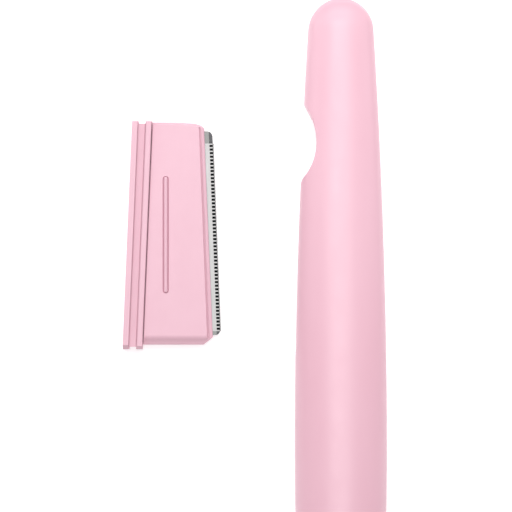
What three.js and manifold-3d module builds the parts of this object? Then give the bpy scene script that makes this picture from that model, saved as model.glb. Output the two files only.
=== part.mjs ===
// Refillable face razor: a weighted two-shell handle with an open-backed bay, and the blade cartridge
// that slides sideways into it. Millimetres, +Z up. The handle lies on its flat back with its axis along Y
// and its rounded head at +Y. The origin is on the back, on the axis, where the handle is widest.
// The cartridge is drawn where it sits in the bay, and its group then moves it out beside the handle.

import * as THREE from "three";
import { mergeVertices } from "three/addons/utils/BufferGeometryUtils.js";
import Module from "manifold-3d";

const wasm = await Module();
wasm.setup();

// ---- driving dimensions ----

const DOCK_TRAVEL = 30; // from beside the handle to fully home in the bay

const handle = {
  length: 140,
  width: 16, // at the widest station
  widest: 78, // distance of the widest station from the tip
  headLoss: 5.4, // width lost between the widest station and the tip
  headPower: 1.9,
  tailLoss: 4.2,
  tailPower: 1.8,
  tipRound: 5.2, // length of the rounded tip
  tailRound: 6,
  roundPower: 1.95,
  headHeight: 7.3,
  gripHeight: 9.6,
  tailDrop: 1.2, // height lost between the grip and the tail
  domePower: 2.3,
  backEdge: 0.8, // rounding of the back's edges
};

// The handle is widest and parts here: straight sides and flat back below, dome above.
const seam = { z: 4.3, gap: 0.08 };
const wall = 1.5;

// Finger notch in the handle's left side: two arcs that meet at its deepest point.
const notch = { x: -4.3, y: 52.78, upperRadius: 11.7, lowerRadius: 9.1, blend: 2.5 };

// The cartridge, where it sits in the bay. Its spine and its edge lean apart towards the grip.
const cartridge = {
  midY: 36.89,
  spineX: -7.18, // outer face of the spine at midY
  edgeX: 8.37, // cutting edge at midY
  spineLean: 0.0419, // millimetres outward for each millimetre towards the grip
  edgeLean: 0.0394,
  top: 56.47,
  bottom: 17.65,
  height: 3.1, // front face above the back
};

const spine = {
  top: 56.66,
  bottom: 16.85,
  outerRib: 0.97,
  channel: 1.44,
  innerRib: 1,
  outerHeight: 3.9,
  innerHeight: 3.7,
  channelHeight: 3,
  webSetback: 0.45, // the channel stops this far short of the ribs' ends
  webInset: 0.18, // and is cut back there over less than its full width
  chamfer: 0.25, // of the back's outer edge
  seamWidth: 0.2, // open line between the spine and the cover plate
};
spine.width = spine.outerRib + spine.channel + spine.innerRib;

const blade = {
  back: 2.2, // inner edge, from the bay's axis, at midY
  z: 1.5,
  thickness: 0.22,
  top: 54.92,
  bottom: 19.28,
  bevel: 0.62, // width of the ground edge
  corner: 0.9,
  setback: 0.14, // the cutting edge lies this far inside the guard's nose
  gap: 0.05, // to the plastic above and below it
  holes: [47.5, 36.9, 26.3],
  holeX: 4.4,
  holeRadius: 0.8,
  postRise: 0.5, // how far the carrier's posts stand out of the blade's holes
};

const guard = {
  top: 52.78,
  bottom: 20,
  reach: 1.45, // width of the strip that shows beyond the plastic
  hidden: 0.9, // width gripped under the cover plate
  sheet: 0.14,
  clear: 0.05, // room between the strip and the blade
  nose: 0.08, // outside of the fold, from the edge line
  windows: 52,
  windowShare: 0.65, // of the pitch
  windowDepth: 0.68, // from the nose
  room: 0.1, // between the strip and the plastic that holds it
};

const bead = { x: -0.52, width: 1.04, top: 46.96, bottom: 26.73, rise: 0.36 };
const bevels = { top: 0.38, bottom: 1.4, side: 0.78, height: 0.8 };
const corners = { top: 0.98, bottomX: 1.6, bottomY: 1.25 }; // cut off next to the blade
const tongueSize = { reach: 1, inset: 1.5, low: 0.85, high: 1.7 };

const bay = { clearance: 0.3, ledgeReach: 0.75, ledgeHeight: 0.7 };
const rebate = { depth: 1.05, height: 0.95 }; // in the cartridge's ends, over the ledges

const guide = {
  halfWidth: 4.2,
  top: 45,
  bottom: 19,
  low: 4.34,
  high: 5.84,
  pocketTop: 5.9,
  headWell: 0.75, // depth of the wells for the guide screws' heads
};
const detent = {
  x: -1.72,
  width: 3,
  thickness: 0.28,
  z: 4.42, // underside of the leaf
  pivotY: 22.3,
  rootY: 20.7,
  tipY: 39.6,
  nibRadius: 0.5,
  nibLength: 5,
  nibDrop: 1.12, // from the leaf's underside to the nib's lowest line
  flex: 0.8, // free height above the leaf's underside
  clampLength: 1.7, // the leaf is held flat this far past its screw
  sideRoom: 0.25,
  endRoom: 0.6,
};

const weight = { halfWidth: 4.4, low: 1.75, high: 6.4, top: 2, bottom: -44, chamfer: 1.2 };
const pad = { thickness: 1.2, sideInset: 0.6, topInset: 1.4, gap: 0.1 };

// Shallow grooves across the grip's back.
const gripGrooves = { count: 7, pitch: 4, first: -8, halfLength: 4.6, halfWidth: 0.45, depth: 0.35 };

// Screws: the shell screws come from the back, and the small ones hold the guide and the leaf.
const shellScrew = {
  headRadius: 1.75,
  headHeight: 1.1,
  shankRadius: 0.95,
  seatZ: 1.9,
  seatGap: 0.05,
  endZ: 6,
  boss: 2.3,
};
const smallScrew = { headRadius: 1.25, headHeight: 0.42, shankRadius: 0.55, seatGap: 0.05, endZ: 6.75 };
const socket = { radius: 0.8, depth: 0.6 }; // hexagon socket in a shell screw's head
const fitGap = 0.12;
const shellScrews = { head_screw: [0.4, 66.5], grip_screw_upper: [0, 9.5], grip_screw_lower: [0, -51] };
const guideScrews = { guide_screw_upper: [2.6, 42.4], guide_screw_lower: [2.6, 21.6] };
// Plugs close the wells over the shell screws' heads. Each has a slot for lifting it out.
const plug = { low: 0.05, high: 0.6, slotHalfLength: 0.9, slotHalfWidth: 0.2, slotDepth: 0.2 };
const dowel = { x: 0, y: 72.4, radius: 0.75, low: 1.9, high: 5.7 };

const colour = {
  handlePink: 0xf6cfdb,
  cartridgePink: 0xf8cfdc,
  guideWhite: 0xf2eef0,
  steel: 0xc9ccce,
  guardSilver: 0xe2e4e4,
  springSteel: 0x9fa3a8,
  weightSteel: 0x85888c,
  padGrey: 0x55565a,
  plugPink: 0xe9b4c4,
};

// ---- solids ----

function toSolid(geometry) {
  const bare = geometry.clone();
  bare.deleteAttribute("normal");
  bare.deleteAttribute("uv");
  const merged = mergeVertices(bare, 1e-4);
  return new wasm.Manifold(
    new wasm.Mesh({
      numProp: 3,
      vertProperties: new Float32Array(merged.attributes.position.array),
      triVerts: new Uint32Array(merged.index.array),
    }),
  );
}

function toGeometry(solid) {
  const mesh = solid.getMesh();
  const geometry = new THREE.BufferGeometry();
  geometry.setAttribute("position", new THREE.BufferAttribute(mesh.vertProperties, 3));
  geometry.setIndex(new THREE.BufferAttribute(mesh.triVerts, 1));
  geometry.computeVertexNormals();
  return geometry;
}

function box(x0, x1, y0, y1, z0, z1) {
  const shape = new THREE.BoxGeometry(x1 - x0, y1 - y0, z1 - z0);
  return toSolid(shape.translate((x0 + x1) / 2, (y0 + y1) / 2, (z0 + z1) / 2));
}

function post(x, y, z0, z1, radius, sides = 24) {
  const shape = new THREE.CylinderGeometry(radius, radius, z1 - z0, sides);
  return toSolid(shape.rotateX(Math.PI / 2).translate(x, y, (z0 + z1) / 2));
}

// A plate with the outline given as [x, y] points, from z0 up to z1.
function plate(outline, z0, z1) {
  const shape = new THREE.Shape(outline.map(([x, y]) => new THREE.Vector2(x, y)));
  const body = new THREE.ExtrudeGeometry(shape, { depth: z1 - z0, bevelEnabled: false });
  return toSolid(body.translate(0, 0, z0));
}

// A solid through closed rings of points, each ring with the same number of points.
function loft(rings) {
  const count = rings[0].length;
  const points = rings.flat(2);
  const faces = [];
  for (let r = 0; r + 1 < rings.length; r++)
    for (let i = 0; i < count; i++) {
      const a = r * count + i;
      const b = r * count + ((i + 1) % count);
      faces.push(a, b, b + count, a, b + count, a + count);
    }
  const last = (rings.length - 1) * count;
  for (let i = 1; i + 1 < count; i++) {
    faces.push(0, i + 1, i);
    faces.push(last, last + i, last + i + 1);
  }
  const geometry = new THREE.BufferGeometry();
  geometry.setAttribute("position", new THREE.Float32BufferAttribute(points, 3));
  geometry.setIndex(faces);
  return toSolid(geometry);
}

// ---- the handle's form ----

// How much of its full size the handle has at distance d from an end that is rounded over the given length.
function rounding(d, length, power) {
  return d >= length ? 1 : (1 - (1 - d / length) ** power) ** (1 / power);
}

function handleWidth(s) {
  const { width, widest, length, headLoss, headPower, tailLoss, tailPower } = handle;
  if (s < widest) return width - headLoss * (1 - s / widest) ** headPower;
  return width - tailLoss * ((s - widest) / (length - widest)) ** tailPower;
}

function handleHeight(s) {
  const { headHeight, gripHeight, tailDrop, length } = handle;
  const swell = THREE.MathUtils.smoothstep(s, 12, 95);
  const tail = THREE.MathUtils.smoothstep(s, 100, length);
  return headHeight + (gripHeight - headHeight) * swell - tailDrop * tail;
}

// The right half of the dome's section and of the back's, from the seam round to the middle.
function domeHalf(half, high, skirt) {
  const steps = 9;
  const points = skirt ? [[half, -skirt]] : [];
  for (let i = 0; i < steps; i++) {
    const a = ((i / steps) * Math.PI) / 2;
    const share = 2 / handle.domePower;
    points.push([half * Math.cos(a) ** share, (high - seam.z) * Math.sin(a) ** share]);
  }
  return points;
}

function backHalf(half, low, top) {
  const steps = 3;
  const radius = handle.backEdge;
  const points = [[half, top - seam.z]];
  for (let i = 0; i <= steps; i++) {
    const a = ((i / steps) * Math.PI) / 2;
    points.push([half - radius * (1 - Math.cos(a)), low - seam.z + radius * (1 - Math.sin(a))]);
  }
  return points;
}

// Where the sections are taken, as distances from the tip: close together round the two ends.
function stations(from, to) {
  const { length, tipRound, tailRound } = handle;
  const found = [];
  const ends = 7;
  for (let i = 0; i < ends; i++) {
    const share = 1 - Math.cos(((i / ends) * Math.PI) / 2);
    found.push(0.04 + share * tipRound, length - 0.04 - share * tailRound);
  }
  const spans = 34;
  for (let i = 0; i <= spans; i++)
    found.push(tipRound + (i / spans) * (length - tipRound - tailRound));
  const kept = found.filter((s) => s > from && s < to);
  if (from > 0) kept.push(from);
  if (to < length) kept.push(to);
  return kept.sort((a, b) => a - b);
}

// The handle's form above the seam. With an inset it is the hollow inside a wall of that thickness,
// and a skirt carries it straight down past the seam.
function dome(inset = 0, skirt = 0, from = 0, to = handle.length) {
  return formThrough(stations(from, to), (s) => {
    const right = domeHalf(handleWidth(s) / 2 - inset, handleHeight(s) - inset, skirt);
    const left = right.map(([x, z]) => [-x, z]).reverse();
    return [...right, [0, handleHeight(s) - inset - seam.z], ...left];
  });
}

// The handle's form from the back up to the seam, or past it by rise, or the hollow inside it.
function back(inset = 0, rise = 0, from = 0, to = handle.length) {
  return formThrough(stations(from, to), (s) => {
    const right = backHalf(handleWidth(s) / 2 - inset, inset, seam.z + rise);
    const left = right.map(([x, z]) => [-x, z]);
    return [...left, ...right.reverse()];
  });
}

function formThrough(places, sectionAt) {
  const { length, widest, tipRound, tailRound, roundPower } = handle;
  return loft(
    places.map((s) => {
      const round =
        rounding(s, tipRound, roundPower) * rounding(length - s, tailRound, roundPower);
      return sectionAt(s).map(([x, z]) => [x * round, widest - s, seam.z + z * round]);
    }),
  );
}

// Everything to the left of the finger notch's curve.
function notchCutter() {
  const { x, y, upperRadius, lowerRadius, blend } = notch;
  const outline = [];
  const steps = 14;
  const reach = 5; // how far the cutter stands outside the handle
  const topAngle = Math.acos(1 - reach / upperRadius);
  for (let i = 0; i <= steps; i++) {
    const a = topAngle * (1 - i / steps);
    outline.push([x - upperRadius * (1 - Math.cos(a)), y + upperRadius * Math.sin(a)]);
  }
  const cornerY = y - 7; // roughly where the lower arc would meet the side
  const sideX = -handleWidth(handle.widest - cornerY) / 2;
  const centreX = x - lowerRadius;
  const acrossX = sideX + blend - centreX;
  const blendY = y - Math.sqrt((lowerRadius + blend) ** 2 - acrossX ** 2);
  const tangent = Math.atan2(blendY - y, acrossX);
  for (let i = 1; i <= steps; i++) {
    const a = (tangent * i) / steps;
    outline.push([centreX + lowerRadius * Math.cos(a), y + lowerRadius * Math.sin(a)]);
  }
  const turn = Math.PI + tangent;
  const blendSteps = 5;
  for (let i = 1; i <= blendSteps; i++) {
    const a = turn + ((Math.PI - turn) * i) / blendSteps;
    outline.push([sideX + blend + blend * Math.cos(a), blendY + blend * Math.sin(a)]);
  }
  outline.push([sideX - 0.05, blendY - 0.4], [sideX - reach, blendY - 0.4]);
  return plate(outline.reverse(), -1, 12);
}

// ---- lines of the cartridge ----

const spineLine = (y, offset = 0) =>
  cartridge.spineX - cartridge.spineLean * (cartridge.midY - y) + offset;
const edgeLine = (y, offset = 0) =>
  cartridge.edgeX + cartridge.edgeLean * (cartridge.midY - y) + offset;

// ---- handle parts ----

const notchCut = notchCutter();
const bayTop = cartridge.top + bay.clearance;
const bayBottom = cartridge.bottom - bay.clearance;

// The weight's chamber runs from below the bay to short of the tail.
const chamberFrom = handle.widest - bayBottom + 2;
const chamberTo = handle.length - 5;

function subtractAll(body, cutters) {
  return cutters.reduce((left, cutter) => left.subtract(cutter), body);
}

function gripBosses() {
  const { grip_screw_upper: upper, grip_screw_lower: lower } = shellScrews;
  return [upper, lower].map(([x, y]) => post(x, y, -1, 12, shellScrew.boss));
}

function frontShell() {
  const { shankRadius, endZ } = shellScrew;
  const { halfWidth, top, bottom, pocketTop } = guide;
  const half = halfWidth + fitGap;
  const pocket = box(-half, half, bottom - fitGap, top + fitGap, seam.z - 1, pocketTop);
  const shellHoles = Object.values(shellScrews).map(([x, y]) =>
    post(x, y, -1, endZ + fitGap, shankRadius + fitGap),
  );
  const small = smallScrew.shankRadius + fitGap;
  const smallHoles = [...Object.values(guideScrews), [detent.x, detent.pivotY]].map(([x, y]) =>
    post(x, y, seam.z, smallScrew.endZ + fitGap, small, 16),
  );
  const chamber = dome(wall, 1, chamberFrom, chamberTo);
  return subtractAll(dome(), [
    notchCut,
    subtractAll(chamber, gripBosses()),
    pocket,
    dowelHole(),
    ...shellHoles,
    ...smallHoles,
  ]);
}

function dowelHole() {
  const { x, y, radius, low, high } = dowel;
  return post(x, y, low - fitGap, high + fitGap, radius + fitGap, 16);
}

// A back piece of the handle between two stations, with a ledge that carries the end of the cartridge.
function backPiece(y0, y1, ledgeAt, ledgeDirection) {
  const ledgeEnd = ledgeAt + ledgeDirection * bay.ledgeReach;
  const ledgeRoot = ledgeAt - ledgeDirection;
  const ledge = box(
    -20,
    20,
    Math.min(ledgeRoot, ledgeEnd),
    Math.max(ledgeRoot, ledgeEnd),
    -1,
    bay.ledgeHeight,
  );
  const span = box(-20, 20, y0, y1, -1, seam.z - seam.gap).add(ledge);
  return back().intersect(span).subtract(notchCut);
}

// Room at the bay's left corners for the ends of the spine, which are longer than the cartridge's body.
function spineRoom() {
  const inner = spine.width + bay.clearance;
  const [y0, y1] = [spine.bottom - bay.clearance, spine.top + bay.clearance];
  return plate(
    [
      [-20, y0],
      [spineLine(y0, inner), y0],
      [spineLine(y1, inner), y1],
      [-20, y1],
    ],
    -2,
    seam.z + 1,
  );
}

// The well for a shell screw's head and plug, and the hole for its shank.
function screwWell([x, y]) {
  const { headRadius, seatZ, shankRadius } = shellScrew;
  return post(x, y, -1, seatZ, headRadius + fitGap).add(
    post(x, y, 0, 12, shankRadius + fitGap),
  );
}

function headBase() {
  return subtractAll(backPiece(bayTop, 90, bayTop, -1), [
    spineRoom(),
    screwWell(shellScrews.head_screw),
    dowelHole(),
  ]);
}

function gripBase() {
  const chamber = back(wall, 1, chamberFrom, chamberTo);
  const { count, pitch, first, halfLength, halfWidth, depth } = gripGrooves;
  const grooves = [];
  for (let i = 0; i < count; i++) {
    const y = first - i * pitch;
    grooves.push(box(-halfLength, halfLength, y - halfWidth, y + halfWidth, -1, depth));
  }
  return subtractAll(backPiece(-90, bayBottom, bayBottom, 1), [
    spineRoom(),
    subtractAll(chamber, gripBosses()),
    screwWell(shellScrews.grip_screw_upper),
    screwWell(shellScrews.grip_screw_lower),
    ...grooves,
  ]);
}

function bayGuide() {
  const { halfWidth, top, bottom, low, high, headWell } = guide;
  const { x, z, thickness, flex, rootY, pivotY, tipY, clampLength, sideRoom, endRoom } = detent;
  const [x0, x1] = [x - detent.width / 2 - sideRoom, x + detent.width / 2 + sideRoom];
  const seatZ = z + thickness + fitGap;
  const shank = smallScrew.shankRadius + fitGap;
  const cuts = [
    box(x0, x1, rootY - sideRoom, tipY + endRoom, low - 1, seatZ),
    box(x0, x1, pivotY + clampLength, tipY + endRoom, low - 1, z + flex),
    post(x, pivotY, low - 1, high + 1, shank, 16),
  ];
  for (const [screwX, screwY] of Object.values(guideScrews)) {
    cuts.push(post(screwX, screwY, low - 1, low + headWell, smallScrew.headRadius + fitGap, 20));
    cuts.push(post(screwX, screwY, low - 1, high + 1, shank, 16));
  }
  return subtractAll(box(-halfWidth, halfWidth, bottom, top, low, high), cuts);
}

function screw(x, y, spec, headZ, endZ) {
  const head = post(x, y, headZ - spec.headHeight, headZ, spec.headRadius);
  return head.add(post(x, y, headZ - 0.2, endZ, spec.shankRadius, 16));
}

function shellScrewAt([x, y]) {
  const headZ = shellScrew.seatZ - shellScrew.seatGap;
  const low = headZ - shellScrew.headHeight;
  const hexagon = post(x, y, low - 1, low + socket.depth, socket.radius, 6);
  return screw(x, y, shellScrew, headZ, shellScrew.endZ).subtract(hexagon);
}

// A stamped leaf: a flat strip with a hole at its root and a pressed rib under its free end.
function detentSpring() {
  const { x, width, thickness, z, rootY, tipY, pivotY, nibRadius, nibLength, nibDrop } = detent;
  const strip = box(x - width / 2, x + width / 2, rootY, tipY, z, z + thickness);
  const nibY = cartridge.midY;
  const nib = new THREE.CylinderGeometry(nibRadius, nibRadius, nibLength, 16)
    .translate(x, nibY, z - nibDrop + nibRadius);
  const neck = box(
    x - nibRadius,
    x + nibRadius,
    nibY - nibLength / 2,
    nibY + nibLength / 2,
    z - nibDrop + nibRadius,
    z + thickness / 2,
  );
  return strip
    .add(toSolid(nib))
    .add(neck)
    .subtract(post(x, pivotY, 0, 9, smallScrew.shankRadius + fitGap, 16));
}

function weightBar() {
  const { halfWidth, low, high, top, bottom, chamfer } = weight;
  const side = new THREE.Shape();
  side.moveTo(-halfWidth, low);
  side.lineTo(halfWidth, low);
  side.lineTo(halfWidth, high - chamfer);
  side.lineTo(halfWidth - chamfer, high);
  side.lineTo(-halfWidth + chamfer, high);
  side.lineTo(-halfWidth, high - chamfer);
  side.closePath();
  const bar = new THREE.ExtrudeGeometry(side, { depth: top - bottom, bevelEnabled: false });
  return toSolid(bar.rotateX(Math.PI / 2).translate(0, top, 0));
}

function weightPad(y0) {
  const half = weight.halfWidth - pad.sideInset;
  return box(-half, half, y0, y0 + pad.thickness, weight.low, weight.high - pad.topInset);
}

function headDowel() {
  return post(dowel.x, dowel.y, dowel.low, dowel.high, dowel.radius, 16);
}

function screwPlug([x, y]) {
  const { low, high, slotHalfLength, slotHalfWidth, slotDepth } = plug;
  const slot = box(
    x - slotHalfLength,
    x + slotHalfLength,
    y - slotHalfWidth,
    y + slotHalfWidth,
    -1,
    low + slotDepth,
  );
  return post(x, y, low, high, shellScrew.headRadius).subtract(slot);
}

// ---- cartridge parts ----

// The spine: two raised ribs, a channel between them, and a slot in its inner face for the carrier.
function spineRail() {
  const { outerRib, channel, innerRib, width, chamfer, webSetback, webInset } = spine;
  const profile = [
    [chamfer, 0],
    [width, 0],
  ];
  const steps = 6;
  const innerBase = spine.innerHeight - innerRib / 2;
  const outerBase = spine.outerHeight - outerRib / 2;
  for (let i = 0; i <= steps; i++) {
    const a = (Math.PI * i) / steps;
    const x = width - (innerRib / 2) * (1 - Math.cos(a));
    profile.push([x, innerBase + (innerRib / 2) * Math.sin(a)]);
  }
  profile.push([outerRib + channel, spine.channelHeight], [outerRib, spine.channelHeight]);
  for (let i = 0; i <= steps; i++) {
    const a = (Math.PI * i) / steps;
    const x = outerRib - (outerRib / 2) * (1 - Math.cos(a));
    profile.push([x, outerBase + (outerRib / 2) * Math.sin(a)]);
  }
  profile.push([0, chamfer]);
  const ringAt = (y) => profile.map(([x, z]) => [spineLine(y, x), y, z]);
  const [x0, x1] = [outerRib + webInset, outerRib + channel - webInset];
  return subtractAll(loftOf([ringAt(spine.top), ringAt(spine.bottom)]), [
    spineStrip(x0, x1, spine.top - webSetback, spine.top + 1, -1, 6),
    spineStrip(x0, x1, spine.bottom - 1, spine.bottom + webSetback, -1, 6),
    tongue(fitGap),
  ]);
}

// A solid between two rings of a profile that isn't convex, closed with triangulated ends.
function loftOf([near, far]) {
  const flat = near.map(([x, , z]) => new THREE.Vector2(x, z));
  const caps = THREE.ShapeUtils.triangulateShape(flat, []);
  const count = near.length;
  const faces = [];
  for (let i = 0; i < count; i++) {
    const j = (i + 1) % count;
    faces.push(i, j, j + count, i, j + count, i + count);
  }
  for (const [a, b, c] of caps) {
    faces.push(a, c, b);
    faces.push(a + count, b + count, c + count);
  }
  const geometry = new THREE.BufferGeometry();
  geometry.setAttribute(
    "position",
    new THREE.Float32BufferAttribute([...near, ...far].flat(), 3),
  );
  geometry.setIndex(faces);
  return toSolid(geometry);
}

// The carrier's tongue, or the slot for it when grow is its clearance.
function tongue(grow) {
  const { reach, inset, low, high } = tongueSize;
  const [x0, x1] = [spine.width - reach - grow, spine.width + reach];
  const [y0, y1] = [cartridge.bottom + inset - grow, cartridge.top - inset + grow];
  return spineStrip(x0, x1, y0, y1, low - grow, high + grow);
}

// A block between two lines that lean as the spine does, given as offsets from its outer face.
function spineStrip(x0, x1, y0, y1, z0, z1) {
  const outline = [
    [spineLine(y0, x0), y0],
    [spineLine(y0, x1), y0],
    [spineLine(y1, x1), y1],
    [spineLine(y1, x0), y1],
  ];
  return plate(outline, z0, z1);
}

// The cartridge body's outline, inside the steel, with both corners next to the blade cut off.
// Its top edge falls away towards the blade.
function bodyOutline(topInset, bottomInset, sideInset, corner = 1) {
  const y1 = cartridge.top - topInset;
  const y0 = cartridge.bottom + bottomInset;
  const side = -guard.reach - sideInset;
  const inner = spine.width + spine.seamWidth;
  return [
    [spineLine(y0, inner), y0],
    [edgeLine(y0, side - corners.bottomX * corner), y0],
    [edgeLine(y0, side), y0 + corners.bottomY * corner],
    [edgeLine(y1, side), y1 - corners.top * (0.5 + 0.5 * corner)],
    [edgeLine(y1, side - corners.top * 0.62 * corner), y1 - corners.top * 0.5],
    [edgeLine(y1, side - corners.top * 1.7), y1 - corners.top * 0.2],
    [edgeLine(y1, side - corners.top * 5), y1],
    [spineLine(y1, inner), y1],
  ];
}

function carrier() {
  let body = plate(bodyOutline(0, 0, 0), 0, blade.z - blade.gap).add(tongue(0));
  for (const [y0, y1] of [
    [cartridge.top - rebate.depth, 60],
    [10, cartridge.bottom + rebate.depth],
  ])
    body = body.subtract(box(-20, 20, y0, y1, -1, rebate.height));
  // Room under the blade for the guard strip's lower flange.
  body = body.subtract(guardRoom(blade.z - guard.clear - guard.sheet - guard.room, blade.z + 1));
  const postTop = blade.z + blade.thickness + blade.postRise;
  for (const y of blade.holes)
    body = body.add(post(blade.holeX, y, 0.2, postTop, blade.holeRadius - fitGap, 16));
  return body;
}

// Room for the guard strip between two heights, open towards the edge.
function guardRoom(z0, z1) {
  const inner = -guard.reach - guard.hidden - guard.room;
  const [y0, y1] = [guard.bottom - 2 * guard.room, guard.top + 2 * guard.room];
  return plate(
    [
      [edgeLine(y0, inner), y0],
      [edgeLine(y0, 3), y0],
      [edgeLine(y1, 3), y1],
      [edgeLine(y1, inner), y1],
    ],
    z0,
    z1,
  );
}

// The front plate, with its face bevelled towards the blade and both ends, and the long bead on it.
function coverPlate() {
  const bladeTop = blade.z + blade.thickness;
  const foot = bodyOutline(0, 0, 0);
  const face = bodyOutline(bevels.top, bevels.bottom, bevels.side, 0.15);
  const at = (outline, z) => outline.map(([x, y]) => [x, y, z]);
  let body = loft([
    at(foot, bladeTop + blade.gap),
    at(foot, cartridge.height - bevels.height),
    at(face, cartridge.height),
  ]);
  body = body.subtract(guardRoom(0, bladeTop + guard.clear + guard.sheet + guard.room));
  const length = bead.top - bead.bottom - bead.width;
  const mid = (bead.top + bead.bottom) / 2;
  const roundBead = new THREE.CapsuleGeometry(bead.width / 2, length, 5, 12)
    .scale(1, 1, (2 * bead.rise) / bead.width)
    .translate(bead.x, mid, cartridge.height);
  body = body.add(toSolid(roundBead));
  const socketTop = bladeTop + blade.postRise + fitGap;
  for (const y of blade.holes)
    body = body.subtract(post(blade.holeX, y, 0, socketTop, blade.holeRadius, 16));
  return body;
}

// The blade: a flat strip with rounded outer corners, ground to a wedge along its edge.
function bladeStrip() {
  const { top, bottom, back, z, thickness, bevel, setback, corner } = blade;
  const outline = [[back, bottom]];
  const steps = 4;
  for (let i = 0; i <= steps; i++) {
    const a = ((i / steps) * Math.PI) / 2;
    const y = bottom + corner * (1 - Math.cos(a));
    outline.push([edgeLine(y, -setback - corner * (1 - Math.sin(a))), y]);
  }
  for (let i = 0; i <= steps; i++) {
    const a = ((i / steps) * Math.PI) / 2;
    const y = top - corner * (1 - Math.sin(a));
    outline.push([edgeLine(y, -setback - corner * (1 - Math.cos(a))), y]);
  }
  outline.push([back, top]);
  let body = plate(outline, z, z + thickness);
  for (const y of blade.holes)
    body = body.subtract(post(blade.holeX, y, 0, 4, blade.holeRadius, 20));
  // Wedges taken off above and below the edge.
  const mid = z + thickness / 2;
  const land = 0.03; // half the thickness left at the edge
  const past = 0.4;
  const slope = (thickness / 2 - land) / bevel;
  for (const side of [1, -1]) {
    const faceZ = mid + (side * thickness) / 2;
    const ringAt = (y) => {
      const ring = [
        [edgeLine(y, -setback - bevel), y, faceZ],
        [edgeLine(y, past), y, faceZ - side * slope * (bevel + setback + past)],
        [edgeLine(y, past), y, faceZ + side],
        [edgeLine(y, -setback - bevel), y, faceZ + side],
      ];
      return side > 0 ? ring : ring.reverse();
    };
    body = body.subtract(loftOf([ringAt(top + 1), ringAt(bottom - 1)]));
  }
  return body;
}

// The guard: a strip folded over the edge, with windows cut round the fold so that fingers are left.
function guardStrip() {
  const { reach, hidden, sheet, clear, nose, windows, windowShare, windowDepth } = guard;
  const half = blade.thickness / 2 + clear;
  const mid = blade.z + blade.thickness / 2;
  const rootX = -reach - hidden;
  const profile = [
    [nose - sheet, half],
    [nose - sheet, -half],
    [rootX, -half],
    [rootX, -half - sheet],
  ];
  // The outside of the fold is half an ellipse.
  const [foldX, foldZ] = [2 * sheet, half + sheet];
  const steps = 6;
  for (let i = 0; i <= steps; i++) {
    const a = Math.PI * (i / steps - 0.5);
    profile.push([nose - foldX * (1 - Math.cos(a)), foldZ * Math.sin(a)]);
  }
  profile.push([rootX, half + sheet], [rootX, half]);
  const ringAt = (y) => profile.map(([x, z]) => [edgeLine(y, x), y, mid + z]);
  const body = loftOf([ringAt(guard.top), ringAt(guard.bottom)]);
  const pitch = (guard.top - guard.bottom) / (windows + 1 - windowShare);
  const cuts = [];
  for (let i = 0; i < windows; i++) {
    const y = guard.top - pitch * (i + 1 - windowShare / 2);
    const x = edgeLine(y);
    const tall = (pitch * windowShare) / 2;
    cuts.push(box(x - windowDepth, x + 1, y - tall, y + tall, mid - 1, mid + 1));
  }
  return subtractAll(body, cuts);
}

// ---- assembly ----

function material(hex, roughness, metalness) {
  return new THREE.MeshStandardMaterial({ color: hex, roughness, metalness });
}

const finishes = {
  shell: material(colour.handlePink, 0.35, 0),
  cartridge: material(colour.cartridgePink, 0.4, 0),
  guide: material(colour.guideWhite, 0.5, 0),
  steel: material(colour.steel, 0.25, 1),
  guard: material(colour.guardSilver, 0.3, 1),
  spring: material(colour.springSteel, 0.3, 1),
  weight: material(colour.weightSteel, 0.5, 1),
  pad: material(colour.padGrey, 0.9, 0),
  plug: material(colour.plugPink, 0.8, 0),
};

function part(name, solid, finish) {
  const mesh = new THREE.Mesh(toGeometry(solid), finish);
  mesh.name = name;
  return mesh;
}

const razor = new THREE.Group();

const handleGroup = new THREE.Group();
handleGroup.add(
  part("front_shell", frontShell(), finishes.shell),
  part("grip_base", gripBase(), finishes.shell),
  part("head_base", headBase(), finishes.shell),
  part("head_dowel", headDowel(), finishes.steel),
  part("bay_guide", bayGuide(), finishes.guide),
  part("detent_spring", detentSpring(), finishes.spring),
  part("weight_bar", weightBar(), finishes.weight),
  part("weight_pad_upper", weightPad(weight.top + pad.gap), finishes.pad),
  part("weight_pad_lower", weightPad(weight.bottom - pad.thickness - pad.gap), finishes.pad),
);
for (const [name, place] of Object.entries(shellScrews)) {
  handleGroup.add(part(name, shellScrewAt(place), finishes.steel));
  handleGroup.add(part(`${name}_plug`, screwPlug(place), finishes.plug));
}
for (const [name, [x, y]] of Object.entries(guideScrews)) {
  const seat = guide.low + guide.headWell - smallScrew.seatGap;
  handleGroup.add(part(name, screw(x, y, smallScrew, seat, smallScrew.endZ), finishes.steel));
}
handleGroup.add(
  part(
    "detent_screw",
    screw(detent.x, detent.pivotY, smallScrew, detent.z - 2 * smallScrew.seatGap, smallScrew.endZ),
    finishes.steel,
  ),
);

const cartridgeGroup = new THREE.Group();
cartridgeGroup.add(
  part("spine_rail", spineRail(), finishes.cartridge),
  part("carrier", carrier(), finishes.cartridge),
  part("cover_plate", coverPlate(), finishes.cartridge),
  part("blade", bladeStrip(), finishes.steel),
  part("guard", guardStrip(), finishes.guard),
);
cartridgeGroup.position.x = -DOCK_TRAVEL;

razor.add(handleGroup, cartridgeGroup);

export default razor;
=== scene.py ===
"""Looks for the refillable face razor: its handle, its loose blade cartridge and the pieces inside them.

Every piece is modelled in millimetres, where the frame says it lies, and brought to metres at the end.
X runs across the handle, Y along it to its head and Z up from the table.
"""

import math

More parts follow.
